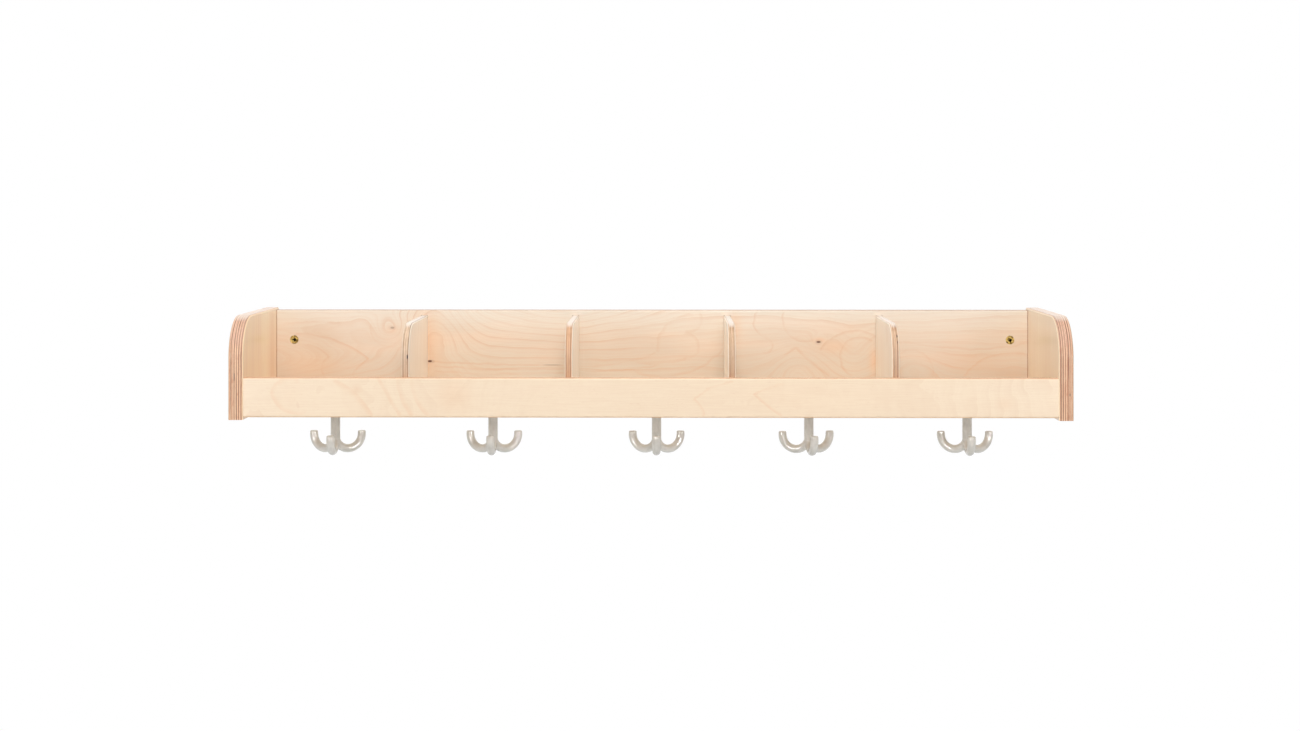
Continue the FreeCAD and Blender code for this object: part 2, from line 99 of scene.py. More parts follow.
# %% The wire
class Wire:
    """An output socket that can stand in a sum, in a shader or in a geometry tree."""

    def __init__(self, socket):
        self.socket = socket

    def node(self, kind, settings=None, values=None, output=0):
        """A new node beside this one: first its settings, then the values or links of its sockets."""
        made = self.socket.id_data.nodes.new(kind)
        for name, value in (settings or {}).items():
            setattr(made, name, value)
        for name, value in (values or {}).items():
            join(value, made.inputs[name])
        return Wire(made.outputs[output])

    def sum(self, operation, *values):
        return self.node("ShaderNodeMath", {"operation": operation}, dict(enumerate(values)))

    def __add__(self, other):
        return self.sum("ADD", self, other)

    __radd__ = __add__

    def __sub__(self, other):
        return self.sum("SUBTRACT", self, other)

    def __rsub__(self, other):
        return self.sum("SUBTRACT", other, self)

    def __mul__(self, other):
        return self.sum("MULTIPLY", self, other)

    __rmul__ = __mul__

    def __truediv__(self, other):
        return self.sum("DIVIDE", self, other)

    def __pow__(self, other):
        return self.sum("POWER", self, other)

    def __neg__(self):
        return self.sum("MULTIPLY", self, -1)

    def __abs__(self):
        return self.sum("ABSOLUTE", self)

    def __lt__(self, other):
        return self.sum("LESS_THAN", self, other)

    def least(self, other):
        return self.sum("MINIMUM", self, other)

    def most(self, other):
        return self.sum("MAXIMUM", self, other)

    def of(self, operation):
        """One of the sums that take a single number, such as FLOOR, FRACT, COSINE or EXPONENT."""
        return self.sum(operation, self)


def join(value, socket):
    """Give a socket its value: a link from a wire, or a plain number, colour or vector."""
    if isinstance(value, Wire):
        socket.id_data.links.new(value.socket, socket)
    else:
        socket.default_value = value


def ease(value, low, high):
    """0 below low, 1 above high and a soft slope between. With low above high it runs the other way."""
    return value.node("ShaderNodeMapRange", {"interpolation_type": "SMOOTHSTEP"},
                      {0: value, 1: low, 2: high, 3: 0.0, 4: 1.0})


def blend_colours(share, first, second):
    """The first colour where share is 0 and the second where it is 1."""
    return share.node("ShaderNodeMix", {"data_type": "RGBA"}, {0: share, 6: first, 7: second}, output=2)


def layered(colour, layers):
    """Lay one colour after another over the first, each by its share."""
    for share, over in layers:
        colour = blend_colours(share, colour, over)
    return colour


def split(arrow):
    """The X, Y and Z of a place or a direction."""
    return [arrow.node("ShaderNodeSeparateXYZ", values={0: arrow}, output=axis) for axis in range(3)]


def stretched(place, scale, seed):
    """Coordinates for a noise, scaled along each axis and moved to a part of the noise of its own."""
    return place.node("ShaderNodeMapping",
                      values={"Vector": place, "Location": (seed, seed, seed), "Scale": scale})


def cloud(place, detail=2.0, roughness=0.5):
    """Soft noise from 0 to 1, about 0.5 in the middle."""
    return place.node("ShaderNodeTexNoise",
                      values={"Vector": place, "Scale": 1.0, "Detail": detail, "Roughness": roughness})


# %% [markdown]
# ## Starting and closing a finish
#
# Each finish is one material around the Principled shader. Patterns start from Object coordinates:
# every piece's object stands at the origin, unturned, so those coordinates are metres in the shelf
# itself and stay on the piece when it moves. Values that are the same all over go straight on the
# shader's own sockets.

# %% Finish helpers
def new_finish(name):
    """An empty material, with the coordinates and the surface direction that its patterns start from."""
    finish = bpy.data.materials.new(name)
    finish.use_nodes = True
    coordinates = finish.node_tree.nodes.new("ShaderNodeTexCoord")
    return finish, Wire(coordinates.outputs["Object"]), Wire(coordinates.outputs["Normal"])


def close_finish(finish, **values):
    """Set the Principled shader's sockets, their names written with _ for each space."""
    shader = finish.node_tree.nodes["Principled BSDF"]
    for name, value in values.items():
        join(value, shader.inputs[name.replace("_", " ")])
    return finish


def relief(height, depth, strength=1.0):
    """Bump from a height between 0 and 1, which stands for a depth in metres."""
    return height.node("ShaderNodeBump", values={"Strength": strength, "Distance": depth, "Height": height})


def dress(node, finish):
    """Put a finish on one of the frame's own pieces. Its mesh isn't touched."""
    for slot in frame["nodes"][node].material_slots:
        slot.material = finish


# %% [markdown]
# ## What plywood looks like
#
# Birch plywood is an odd number of thin veneers glued crosswise. On a face we see one veneer, peeled
# off the log like paper off a roll, so the year rings show as wandering contour lines, and they close
# into loops round each knot. On an edge we see every veneer at once: those that run along the edge
# look pale and smooth, those that end at it show dark end grain, and thin brown glue lines part them.
#
# Both can be worked out at any point of the solid board, so one finish covers faces and edges and they
# meet properly on the rounded corners. The depth into the board gives the veneer's number. The face's
# lines are the contours of a smooth height: a slope across the board, a slow noise, and one hill for
# each swirl. The few strong lines that give a board its character are drawn as arcs through three
# points, as with a bent batten. This is better than a picture, which would have a seam at every edge.

# %% Colours of birch
FACE_PALE = paint(251, 230, 204)
FACE_WARM = paint(237, 212, 184)
FACE_ROSY = paint(241, 209, 182)
FACE_LINE = paint(212, 166, 128)
# The wood's warm blush, also used as painted warm bounce light and shade beside the dividers
FACE_BLUSH_AND_BOUNCE = paint(236, 190, 150)
# Painted shade
FACE_PAINTED_SHADE = paint(190, 150, 118)
# Painted light for the upper part of the back panel, then painted shade for its lower part
FACE_PAINTED_TOP_LIGHT = paint(244, 242, 230)
FACE_PAINTED_LOW_SHADE = paint(192, 188, 174)
EDGE_PALE = paint(251, 211, 172)
EDGE_DARK = paint(208, 134, 98)
# Rosy tone of the slantwise cut, partly a painted sheen from the light above
EDGE_ROSY_AND_SHEEN = paint(238, 198, 176)
# Painted sheen on top edges
EDGE_PAINTED_SHEEN = paint(250, 240, 228)
# Painted shade at the foot of a divider's edge
EDGE_FOOT_SHADE = paint(176, 142, 108)
GLUE_BROWN = paint(112, 58, 36)
KNOT_BROWN = paint(86, 32, 4)
# Painted shade at a board's ends, in the corners where it meets the sides
END_SHADE_BROWN = paint(140, 84, 58)
# Painted shade on the down-facing lower arris
ARRIS_GOLD_SHADE = paint(244, 186, 122)
# Painted shade inside veneer voids
VOID_SHADE = paint(58, 46, 40)

# %% [markdown]
# ## Marks on a face
#
# Every mark is a number from 0 to 1 over the board, made from two coordinates: along the grain and
# across it. A hill is soft all over, a spot has an edge, and an arc is a thin line. Places and reaches
# are given in millimetres, so that they can be read off a drawing of the board.

# %% Hills, spots, arcs and contours
ARC_FADE = 2.0 * MM
ARC_CRISP = 0.35
LATE_WOOD_FULL = 0.96
LATE_WOOD_END = 0.965


def squared_distance(along, across, middle, reach):
    """The square of the distance from a middle, with the reach as its unit."""
    run = (along - middle[0] * MM) / (reach[0] * MM)
    rise = (across - middle[1] * MM) / (reach[1] * MM)
    return run * run + rise * rise


def hill(along, across, middle, reach):
    """1 in the middle and softly down to 0 beyond the reach."""
    return (-squared_distance(along, across, middle, reach)).of("EXPONENT")


def spot(along, across, middle, reach):
    """1 in the middle of a small spot, such as a knot or a gap in a veneer, and 0 outside it."""
    return ease(squared_distance(along, across, middle, reach), 1.0, 0.25)


def arc_line(along, across, points, width):
    """1 on the round arc through three points, and 0 beyond its ends. It is soft on its hollow side."""
    start, middle, end = (Vector(point) * MM for point in points)
    to_middle = middle - start
    chord = end - start
    twist = 2 * to_middle.cross(chord)
    lengths = (to_middle.length_squared, chord.length_squared)
    centre = start + Vector((chord.y * lengths[0] - to_middle.y * lengths[1],
                             to_middle.x * lengths[1] - chord.x * lengths[0])) / twist
    radius = (start - centre).length
    outward = Vector((-chord.y, chord.x)).normalized()
    if outward.dot(to_middle) < 0:
        outward = -outward
    run = along - centre.x
    rise = across - centre.y
    off = (run * run + rise * rise).of("SQRT") - radius
    line = ease(off, -width * MM, 0.0) * ease(off, width * ARC_CRISP * MM, 0.0)
    behind = (along - start.x) * outward.x + (across - start.y) * outward.y
    half = chord.length / 2
    ahead = chord.normalized()
    middle = start + chord / 2
    past = abs((along - middle.x) * ahead.x + (across - middle.y) * ahead.y)
    return line * ease(behind, -2 * ARC_FADE, -ARC_FADE) * ease(past, half + ARC_FADE, half - ARC_FADE)


def contour_lines(height, sharpness):
    """Thin lines at every whole step of a height: each darkens slowly and ends at once, like late wood."""
    step = height.of("FRACT")
    return ease(step, sharpness, LATE_WOOD_FULL) * ease(step, 1.0, LATE_WOOD_END)


# %% [markdown]
# ## A board's own coordinates
#
# Boards differ in which way they lie, so the finish works with a board's own directions: along the
# face's grain, across it and through the veneers. The frame says where the board starts and how thick
# it is, and `look` holds the rest: which axis is which, how many veneers, and how the figure runs.
# Wood is full of noise of many kinds, each stretched in its own way, so the noises have names.

# %% The board and its noises
AXES = "xyz"

# Each noise: how fine it is, per metre, along the grain, across it and through the veneers, which part
# of the noise it takes, its detail and its roughness
NOISES = {
    "joint waves": ((25.0, 25.0, 25.0), 0.0, 3.0, 0.5),
    "line strength": ((9.0, 26.0, 1.0), 3.1, 2.0, 0.5),
    "tone": ((5.0, 16.0, 1.0), 7.7, 3.0, 0.5),
    "rosy patches": ((7.0, 30.0, 1.0), 1.9, 2.0, 0.5),
    "arc waves": ((45.0, 70.0, 1.0), 4.4, 3.0, 0.6),
    "arc strength": ((26.0, 40.0, 1.0), 2.2, 2.0, 0.5),
    "fibres": ((30.0, 1400.0, 300.0), 0.0, 3.0, 0.6),
    "flecks": ((160.0, 1500.0, 300.0), 5.0, 1.0, 0.5),
    "edge grain": ((700.0, 700.0, 700.0), 0.0, 2.0, 0.7),
    "edge streaks": ((90.0, 90.0, 90.0), 2.0, 2.0, 0.5),
    "edge dashes": ((110.0, 110.0, 650.0), 8.0, 2.0, 0.7),
    "joint strength": ((16.0, 16.0, 500.0), 6.0, 2.0, 0.5),
}
JOINT_WANDER = 0.5
LEAST_DEPTH = 0.001


class Board:
    """One board as its finish sees it: how far along and across the grain a point lies, and how deep."""

    def __init__(self, node, look):
        self.look = look
        self.low, self.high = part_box(node)
        self.thin = AXES.index(look["thin"])
        self.grain = AXES.index(look["grain"])
        self.wide = 3 - self.thin - self.grain
        self.finish, self.place, facing = new_finish(f"birch_plywood_{node}")
        parts = split(self.place)
        self.turns = [abs(part) for part in split(facing)]
        self.along = parts[self.grain]
        self.across = parts[self.wide]

        # The depth counts veneers, in from one face, with joints that wander a little
        veneers = look["veneers"]
        thickness = self.high[self.thin] - self.low[self.thin]
        depth = (parts[self.thin] - self.low[self.thin]) * (veneers / thickness)
        depth = depth + (self.noise("joint waves") - 0.5) * JOINT_WANDER
        self.depth = depth.most(LEAST_DEPTH).least(veneers - LEAST_DEPTH)
        self.number = self.depth.of("FLOOR")

    def noise_of(self, scales, part, detail, roughness=0.5):
        """Soft noise with scales along the grain, across it and through the veneers."""
        three = [0.0, 0.0, 0.0]
        three[self.grain], three[self.wide], three[self.thin] = scales
        return cloud(stretched(self.place, three, self.look["seed"] + part), detail, roughness)

    def noise(self, name):
        return self.noise_of(*NOISES[name])

    def hills(self, key):
        """The soft hills listed in the board's look under one name, each with the number beside it."""
        return [(hill(self.along, self.across, middle, reach), amount)
                for middle, reach, amount in self.look[key]]


# %% [markdown]
# ## The face of a board
#
# A face is built up as a painter would do it: first the broad tones, then washes, blushes and shades:
# painted light over the upper part and painted shade over the lower part, the wood's own blushes with
# painted warm bounce light beside the dividers, and painted shade in low corners. Then come the year
# rings, then single strong lines, and last the fine fibres, the flecks and the knots. Each layer goes
# over the last one by a share.

# %% Year rings
def figure_height(board):
    """The smooth height whose contours are the year rings: a slope, slow rolls and a hill for each swirl."""
    height = board.across * board.look["lines"]
    for (along, across), rings in board.look["rolls"]:
        height = height + board.noise_of((along, across, 1.0), rings, 1.0) * rings
    for swirl, rings in board.hills("swirls"):
        height = height + swirl * rings
    return height


def year_lines(board, height):
    """The rings' dark lines, strong in some patches, faint in others and calmed where the look says so."""
    lines = contour_lines(height, board.look["softness"])
    lines = lines * (0.12 + 0.88 * ease(board.noise("line strength"), 0.32, 0.68))
    for calm, share in board.hills("calm"):
        lines = lines * (1.0 - calm * share)
    return lines


# %% Face layers
ROSY_SHARE = 0.6
BAND_SHARE = 0.22
HAIRLINES_PER_RING = 3.0
HAIRLINE_SHARE = 0.22
FIBRE_SHARE = 0.10
FLECK_SHARE = 0.22


def face_tones(board):
    """The broad tones: warm patches, rosy ones over them, painted light and shade washed across, blushes
    that are partly painted bounce light, and painted shades.
    """
    look = board.look
    tone = ease(board.noise("tone"), 0.3, 0.7)
    rosy = ease(board.noise("rosy patches"), 0.45, 0.75)
    layers = [(tone * look["depth_of_tone"], look["warm"]),
              (rosy * look["depth_of_tone"] * ROSY_SHARE, FACE_ROSY)]
    # Washes: painted light across the upper part, painted shade across the lower part
    layers += [(ease(board.across, start * MM, full * MM) * share, colour)
               for colour, share, start, full in look["washes"]]
    # Blushes: the wood's own warm tone, and beside the dividers painted warm bounce light and shade
    layers += [(blush_and_bounce * share, FACE_BLUSH_AND_BOUNCE) for blush_and_bounce, share in board.hills("blushes")]
    # Shades: painted shade
    return layers + [(shade * share, FACE_PAINTED_SHADE) for shade, share in board.hills("shades")]


def veneer_face(board, fibres):
    """The whole face, with every layer on it."""
    look = board.look
    height = figure_height(board)
    strength = look["line_strength"]
    hairlines = contour_lines(height * HAIRLINES_PER_RING + 0.4, 0.3)
    layers = face_tones(board)
    layers += [(height.of("FRACT") ** 2.0 * strength * BAND_SHARE, FACE_LINE),
               (hairlines * strength * HAIRLINE_SHARE, FACE_LINE),
               (year_lines(board, height) * strength, FACE_LINE)]

    # Single strong lines, which waver and fade in places as if drawn by hand
    waver = (board.noise("arc waves") - 0.5) * (look["wander"] * MM)
    uneven = 0.35 + 0.65 * ease(board.noise("arc strength"), 0.35, 0.6)
    for *points, width, share in look["arcs"]:
        mark = arc_line(board.along + waver, board.across - waver, points, width)
        layers.append((mark * uneven * share, look["arc_colour"]))

    layers += [(ease(fibres, 0.62, 0.35) * FIBRE_SHARE, FACE_LINE),
               (ease(board.noise("flecks"), 0.66, 0.8) * FLECK_SHARE, FACE_LINE)]
    layers += [(spot(board.along, board.across, middle, reach) * darkness, KNOT_BROWN)
               for middle, reach, darkness in look["knots"]]
    return layered(look["pale"], layers)


# %% [markdown]
# ## The edge of a board
#
# On an edge the veneers take turns: pale long fibres, dark ends. Their joints are thin brown lines, and
# a few of them show much darker, where glue squeezed out and caught dust. Short gaps in a veneer are
# voids, painted dark as the shade inside them. Where a side slopes over its rounded corner the cut runs
# slantwise and looks mottled, and its rosy colour there is partly a painted sheen from the light above.
# A divider's edge gets painted shade towards its foot, under the rail. Top edges get a painted sheen,
# a near-white colour for the highlight they catch from the lamp, so they look almost white.

# %% Edge layers
FOOT_REACH = 30.0 * MM
STREAK_SHARE = 0.35
DARK_DASH_SHARE = 0.5
PALE_DASH_SHARE = 0.4


def glue_lines(board):
    """1 on each joint between two veneers, and 0 away from it."""
    joint = (board.depth + 0.5).of("FLOOR").most(1.0).least(board.look["veneers"] - 1.0)
    return ease(abs(board.depth - joint), 0.2, 0.05)


def veneer_edge(board, edge_grain, tone, glue):
    """The edge with all its veneers, from number 0 at one face to the last at the other."""
    look = board.look
    grain_turn = board.turns[board.grain]
    wide_turn = board.turns[board.wide]
    pale, dark = look["edge"]
    crosswise = (board.number * 0.5).of("FRACT") * 2.0
    ends = grain_turn ** 3.0 + (wide_turn ** 3.0 - grain_turn ** 3.0) * crosswise
    darkness = ease(ends, 0.15, 0.75) * (0.35 + 0.6 * tone) + (edge_grain - 0.5) * 0.4
    streaks = board.noise("edge streaks")
    dashes = board.noise("edge dashes")
    # Rosy slantwise tone over the rounded corner, partly painted sheen
    slant = ease(grain_turn * wide_turn, 0.1, 0.45)
    layers = [(darkness.most(0.0).least(1.0), dark),
              (ease(streaks, 0.5, 0.8) * STREAK_SHARE, dark),
              (ease(dashes, 0.52, 0.72) * DARK_DASH_SHARE, dark),
              (ease(dashes, 0.46, 0.28) * PALE_DASH_SHARE, pale),
              (slant * (0.35 + 0.5 * streaks) * look["slant"], EDGE_ROSY_AND_SHEEN),
              # Painted shade: the edge darkens towards its foot, under the rail
              (ease(board.along, FOOT_REACH, -FOOT_REACH) * look["foot"], EDGE_FOOT_SHADE),
              (glue, GLUE_BROWN)]

    fade = 0.45 + 0.55 * ease(board.noise("joint strength"), 0.35, 0.6)
    for joint, strength in look["dark_joints"]:
        line = ease(abs(board.depth - joint), 0.55, 0.2)
        layers.append((line * fade * strength, GLUE_BROWN))
    # Voids: painted shade for the hollow in the veneer
    for middle, reach, veneer, share in look["gaps"]:
        hole = spot(board.along, board.across, middle, reach)
        in_veneer = ease(abs(board.number - veneer), 0.5, 0.4)
        layers.append((hole * in_veneer * share, VOID_SHADE))
    # Painted sheen: up-facing top edges blended towards near-white
    layers.append((ease(grain_turn, 0.85, 0.98) * look["pale_top"], EDGE_PAINTED_SHEEN))
    return layered(pale, layers)


# %% [markdown]
# ## One finish for any board
#
# Face and edge meet at the first glue line, where the surface turns. Then come two painted shades: a
# golden painted shade along a board's lower arris, which faces down, and a darker painted shade at its
# ends, in the corners where it meets the sides. The lacquer lies thick on the flat faces and thin on the
# rounded corners, so only flat wood gets much of the clear coat.

# %% The board finish
ARRIS_START = 1.3 * MM
ARRIS_FULL = 0.4 * MM
# How far the painted shade at a board's ends reaches, and how strong it is
END_SHADE_START = 0.9 * MM
END_SHADE_FULL = 0.5 * MM
END_SHADE_SHARE = 0.8
GRAIN_DEPTH = 0.06 * MM
GRAIN_STRENGTH = 0.35


def plywood(node, look):
    """The finish of one board."""
    board = Board(node, look)
    thin, wide, grain = board.thin, board.wide, board.grain
    fibres = board.noise("fibres")
    edge_grain = board.noise("edge grain")
    tone = board.number.node("ShaderNodeTexWhiteNoise", {"noise_dimensions": "1D"},
                             {"W": board.number + look["seed"]})
    glue = glue_lines(board) * (0.3 + 0.7 * tone)
    face = veneer_face(board, fibres)
    edge = veneer_edge(board, edge_grain, tone, glue)

    last_joint = look["veneers"] - 1
    outer = ease(board.depth, 1.02, 0.98) + ease(board.depth, last_joint - 0.02, last_joint + 0.02)
    on_face = (outer * ease(board.turns[thin], 0.5, 0.8)).least(1.0)
    colour = blend_colours(on_face, edge, face)

    foot = board.low[wide]
    # Painted shade along the lower arris
    shaded_arris = ease(board.across, foot + ARRIS_START, foot + ARRIS_FULL)
    colour = blend_colours(shaded_arris * look["dark_arris"], colour, ARRIS_GOLD_SHADE)
    # Painted shade at both ends of the board, in the corners
    if look["burnt_ends"]:
        middle = (board.low[grain] + board.high[grain]) / 2
        half = (board.high[grain] - board.low[grain]) / 2
        end_shade = ease(abs(board.along - middle), half - END_SHADE_START, half - END_SHADE_FULL)
        colour = blend_colours(end_shade * END_SHADE_SHARE, colour, END_SHADE_BROWN)

    flat = board.turns[thin].most(board.turns[wide]).most(board.turns[grain])
    coat = ease(flat, 0.97, 0.995) * (0.1 + 0.8 * on_face)
    grain_height = fibres * 0.6 + edge_grain * 0.4 - glue * (1.0 - on_face)
    return close_finish(board.finish, Base_Color=colour, Roughness=0.4 + 0.16 * fibres,
                        Normal=relief(grain_height, GRAIN_DEPTH, GRAIN_STRENGTH), Coat_Weight=coat,
                        Coat_Roughness=0.2, Specular_IOR_Level=0.25)


# %% [markdown]
# ## The boards of this shelf
#
# The numbers below say how each board's figure runs, with places in millimetres, along and across the
# board. The back panel shows the most: a long cathedral from the lower left, curves that sweep down to
# the right, loops round a few knots and one dark pin knot. Its upper half is washed paler, as painted
# light, and its lower half, in the rail's shade, washed darker and greyer, as painted shade: those are
# the two washes. Its blushes beside the dividers are painted warm bounce light, and its shades are
# painted shade low in the end compartments.

# %% What all boards share
PLAIN = {
    "pale": FACE_PALE, "warm": FACE_WARM, "depth_of_tone": 0.4, "washes": [], "blushes": [], "shades": [],
    "lines": 40, "rolls": [((3, 14), 5)], "swirls": [], "line_strength": 0.35, "softness": 0.75,
    "calm": [], "arcs": [], "arc_colour": FACE_LINE, "wander": 6, "knots": [],
    "edge": (EDGE_PALE, EDGE_DARK), "slant": 0, "foot": 0, "dark_joints": [], "gaps": [],
    "pale_top": 0, "dark_arris": 0, "burnt_ends": False,
}

# %% The back panel
BACK_PANEL = PLAIN | {
    "thin": "y", "grain": "x", "veneers": 11, "seed": 4, "burnt_ends": True,
    "pale": paint(227, 210, 189), "warm": paint(218, 197, 175), "depth_of_tone": 0.8,
    "edge": (paint(212, 180, 154), paint(164, 122, 96)), "line_strength": 0.44, "lines": 60,
    # Painted light over the upper half, painted shade over the lower half
    "washes": [(FACE_PAINTED_TOP_LIGHT, 0.45, 18, 62), (FACE_PAINTED_LOW_SHADE, 0.32, 32, -26)],
    "rolls": [((5, 16), 1.2), ((16, 40), 0.6), ((50, 100), 0.2)],
    "calm": [((-430, 8), (90, 40), 0.75), ((50, 20), (60, 45), 0.7),
             ((170, 30), (60, 30), 0.7), ((260, 0), (50, 40), 0.5),
             ((196, -18), (34, 18), 0.85), ((272, 6), (24, 26), 0.7)],
    "swirls": [((-570, -12), (190, 34), 7), ((-342, 34), (24, 20), 2.4),
               ((-287, 40), (40, 70), -4), ((-120, 80), (95, 50), 4),
               ((195, -20), (30, 34), -2.4), ((266, 0), (30, 30), 1.8),
               ((345, -14), (34, 20), -1.4), ((220, 18), (14, 9), 1.6)],
    "arcs": [
        ((-469, 28), (-415, 19), (-374, -4), 4, 0.42), ((-374, -4), (-386, -13), (-396, -27), 4, 0.36),
        ((-456, 14), (-438, 8), (-426, -2), 3.5, 0.3), ((-426, -2), (-433, -9), (-434, -26), 3.5, 0.3),
        ((-492, 40), (-455, 44), (-410, 42), 4, 0.22), ((-372, 40), (-362, 16), (-338, 12), 3.5, 0.24),
        ((-289, -9), (-200, -13), (-116, -14), 3, 0.4), ((-287, -15), (-200, -19), (-116, -19), 3, 0.34),
        ((-287, -21), (-210, -25), (-116, -24), 3, 0.3), ((-112, -13), (-50, -12), (6, 3), 3, 0.26),
        ((-112, -19), (-50, -21), (10, -12), 3, 0.3), ((7, 5), (14, 32), (54, 54), 5, 0.2),
        ((66, 54), (63, 36), (47, 29), 5, 0.22), ((47, 29), (63, 12), (46, -5), 5, 0.2),
        ((46, -5), (20, -10), (-20, -9), 5, 0.26), ((94, 6), (66, -15), (-20, -24), 4, 0.28),
        ((138, 56), (139, 31), (152, 23), 3.5, 0.28), ((152, 23), (160, 12), (150, 3), 3.5, 0.26),
        ((173, 56), (179, 29), (212, 19), 3.5, 0.32), ((112, -25), (166, -8), (190, 10), 4, 0.34),
        ((190, 10), (206, -6), (234, -27), 5, 0.34), ((222, 8), (245, 28), (294, 27), 3.5, 0.34),
        ((288, 22), (250, 8), (261, -26), 4, 0.36), ((332, 18), (387, 10), (492, 15), 3.5, 0.3),
        ((330, 5), (362, 0), (372, -24), 3.5, 0.26), ((410, -26), (434, -6), (492, 3), 4, 0.3),
    ],
    # Blushes beside the dividers are painted warm bounce light and shade, the others the wood's own tone
    "blushes": [((-298, 12), (20, 60), 0.55), ((-450, -14), (46, 20), 0.3),
                ((-342, 34), (9, 6), 0.3), ((240, 12), (20, 9), 0.4),
                ((221, 20), (8, 3.5), 0.5), ((294, -8), (7, 18), 0.6),
                ((110, 36), (8, 20), 0.4)],
    # Painted shade low in the end compartments, below the rail's top
    "shades": [((425, -14), (80, 34), 0.22), ((476, -24), (30, 8), 0.3),
               ((-440, -30), (60, 16), 0.12)],
    "knots": [((-292.5, -7.9), (3.4, 1.7), 0.95), ((-291, -8.2), (6, 2.8), 0.2),
              ((-342.2, 36.2), (3.2, 1.7), 0.42), ((-342.2, 36.2), (6.5, 3.6), 0.08),
              ((220.2, 17.8), (3.4, 1.5), 0.9), ((220.2, 17.8), (6, 4), 0.14),
              ((-131, -12.8), (15, 0.6), 0.5), ((455, 59.5), (3, 0.6), 0.7)],
}

# %% [markdown]
# The rail is the calmest board. Its rings are wide faint ripples, left and right of a plain middle, and
# its strong lines are broad and blushing instead of brown.

# %% The front rail and the bottom board
FRONT_RAIL = PLAIN | {
    "thin": "y", "grain": "x", "veneers": 11, "seed": 9, "dark_arris": 0.6,
    "pale": paint(246, 224, 195), "depth_of_tone": 0.2, "line_strength": 0.13, "lines": 6,
    "softness": 0.1, "wander": 9, "arc_colour": FACE_BLUSH_AND_BOUNCE,
    "rolls": [((7, 12), 1.2), ((24, 40), 1.1), ((90, 60), 0.5)],
    "swirls": [((-250, -40), (75, 150), 4), ((505, -30), (110, 160), 8)],
    "calm": [((-100, -36), (120, 60), 1), ((30, -36), (90, 60), 0.9)],
    "arcs": [
        ((-418, -54), (-450, -48), (-461, -29), 7, 0.3), ((-461, -29), (-455, -17), (-428, -14), 7, 0.3),
        ((-384, -14), (-354, -35), (-338, -58), 8, 0.32), ((-330, -14), (-318, -36), (-304, -58), 7, 0.3),
        ((-308, -14), (-303, -36), (-290, -58), 7, 0.32), ((-290, -14), (-286, -36), (-270, -58), 7, 0.28),
        ((100, -14), (70, -25), (53, -36), 4, 0.3), ((53, -36), (62, -45), (66, -58), 4, 0.3),
        ((162, -18), (138, -24), (125, -30), 4, 0.34), ((125, -30), (136, -40), (160, -58), 4, 0.34),
    ],
    "blushes": [((-240, -32), (22, 22), 0.26), ((-440, -34), (16, 16), 0.1),
                ((190, -34), (110, 22), 0.1), ((-357, -26), (6, 5), 0.25),
                ((430, -42), (9, 8), 0.2)],
}
BOTTOM_BOARD = PLAIN | {"thin": "z", "grain": "x", "veneers": 11, "seed": 14.0}

# %% [markdown]
# The sides and dividers stand with their grain upright, and show their edges to us. In `dark_joints`
# each pair is a joint's place, counted in veneers from the board's left face, and how dark it is.

# %% The sides
SIDE = PLAIN | {
    "thin": "x", "grain": "z", "veneers": 13, "lines": 110, "rolls": [((2, 16), 3)],
    "slant": 1, "pale_top": 0.55,
}
SIDE_LEFT = SIDE | {
    "seed": 21, "pale": paint(255, 235, 200), "warm": paint(250, 219, 184), "depth_of_tone": 0.7,
    "dark_joints": [(2.6, 0.75), (5.4, 0.7), (7.3, 1), (9.3, 0.8), (11.6, 0.6)],
    "blushes": [((-20, -42), (90, 14), 0.5)], "gaps": [((-10, -210), (5.5, 4), 5, 0.5)],
}
SIDE_RIGHT = SIDE | {
    "seed": 26.5, "pale": paint(252, 236, 208), "warm": paint(242, 218, 188), "depth_of_tone": 0.5,
    "line_strength": 0.3, "gaps": [((-31, -210), (2, 4), 9, 0.5)],
    "dark_joints": [(1.8, 1), (3.6, 0.65), (5.6, 0.35), (8.4, 0.9), (10.3, 0.85), (12.4, 0.5)],
}

# %% The dividers
DIVIDER = PLAIN | {
    "thin": "x", "grain": "z", "veneers": 7, "pale": paint(254, 248, 234), "warm": paint(246, 231, 212),
    "depth_of_tone": 0.15, "line_strength": 0.2, "foot": 0.5, "pale_top": 0.7,
}
DIVIDERS = [
    {"seed": 31, "edge": (paint(240, 212, 182), paint(200, 164, 130)),
     "dark_joints": [(1.8, 0.3), (6.2, 0.7)], "gaps": [((13, -193), (3.2, 4), 5, 1)]},
    {"seed": 37, "edge": (paint(232, 188, 150), paint(196, 142, 104)),
     "dark_joints": [(1.6, 0.25), (5.2, 0.2)]},
    {"seed": 41, "edge": (paint(234, 202, 168), paint(196, 152, 114)),
     "dark_joints": [(2, 0.3), (5.6, 0.4)]},
    {"seed": 46, "edge": (paint(240, 206, 172), paint(196, 146, 110)),
     "dark_joints": [(2.1, 0.6), (5.2, 0.7)],
     "gaps": [((31, -190), (2, 6), 5, 0.7), ((38, -183), (1.6, 5), 5, 0.9)]},
]

# %% Dress the boards
LOOKS = {"back_panel": BACK_PANEL, "front_rail": FRONT_RAIL, "bottom_board": BOTTOM_BOARD,
         "side_left": SIDE_LEFT, "side_right": SIDE_RIGHT}
for number, own in enumerate(DIVIDERS, start=1):
    LOOKS[f"divider_{number}"] = DIVIDER | own
for node, look in LOOKS.items():
    dress(node, plywood(node, look))
print(len(LOOKS), "boards finished")

# %% [markdown]
# ## Finishes of the hardware
#
# The hooks are light grey moulded plastic. Such plastic is never one flat tone: the melt leaves faint
# clouds, the skin is a little rougher in some places than in others, and light goes a few millimetres
# in before it comes out again. The wall screws are yellow passivated steel, whose skin shifts between
# straw and olive, and their recesses look almost black, because little light gets out of them. The
# hidden pivot screws and washers are plain zinc, and the dowels are bare beech with long pores.

